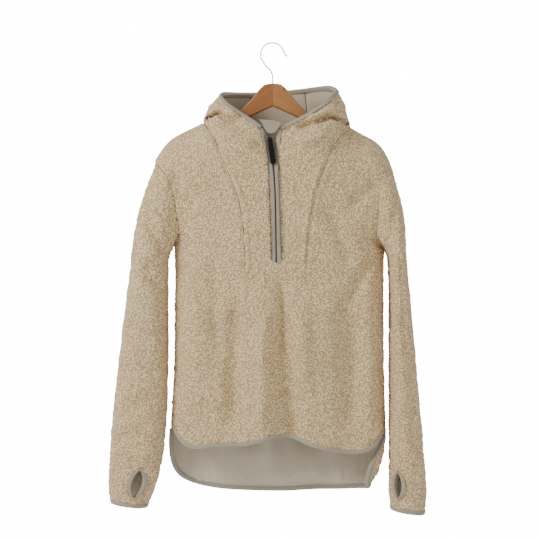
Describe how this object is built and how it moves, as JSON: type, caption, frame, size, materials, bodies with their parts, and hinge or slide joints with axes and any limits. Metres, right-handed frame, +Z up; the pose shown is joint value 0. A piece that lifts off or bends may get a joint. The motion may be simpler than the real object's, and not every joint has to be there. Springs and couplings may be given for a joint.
{
  "type": "sherpa fleece pullover on a wooden hanger",
  "caption": "Hooded half-zip pullover in cream sherpa fleece with grey bindings, thumbholes and a drop tail, on a wooden hanger.",
  "frame": {"origin": "top of the hook's inside, where it sits on a rail", "axes": "+Z up, +X to the right of a viewer who faces the zip, -Y towards that viewer"},
  "size_m": [0.6375, 0.1906, 0.942],
  "materials": {
    "sherpa": "matte",
    "lining": "satin",
    "binding": "matte",
    "zip_tape": "matte",
    "zip_metal": "satin",
    "tab_rubber": "matte",
    "wood": "satin",
    "steel": "satin"
  },
  "bodies": {
    "garment": {"front_body": "sherpa", "back": "sherpa", "hood_bib_left": "sherpa", "hood_bib_right": "sherpa", "hood_centre": "sherpa", "sleeve_left": "sherpa", "sleeve_right": "sherpa", "back_lining": "lining", "hood_lining_left": "lining", "hood_lining_centre": "lining", "hood_lining_right": "lining", "sleeve_lining_left": "lining", "sleeve_lining_right": "lining", "hood_binding": "binding", "zip_strip_left": "binding", "zip_strip_right": "binding", "front_hem_binding": "binding", "back_hem_binding": "binding", "cuff_binding_left": "binding", "cuff_binding_right": "binding", "thumb_binding_left": "binding", "thumb_binding_right": "binding", "zip_garage": "binding", "zip_tape_left": "zip_tape", "zip_tape_right": "zip_tape", "zip_slider": "zip_metal", "slider_bridge": "zip_metal", "hanger_left": "wood", "hanger_right": "wood", "hanger_hook": "steel"},
    "tab": {"pull_tab": "tab_rubber"}
  },
  "joints": [
    {"name": "tab_swing", "type": "hinge", "parent": "garment", "child": "tab", "pos_m": [-0.00574, -0.06764, -0.199], "axis": [-0.9903, 0, -0.1392], "range_deg": [0, 95]}
  ]
}
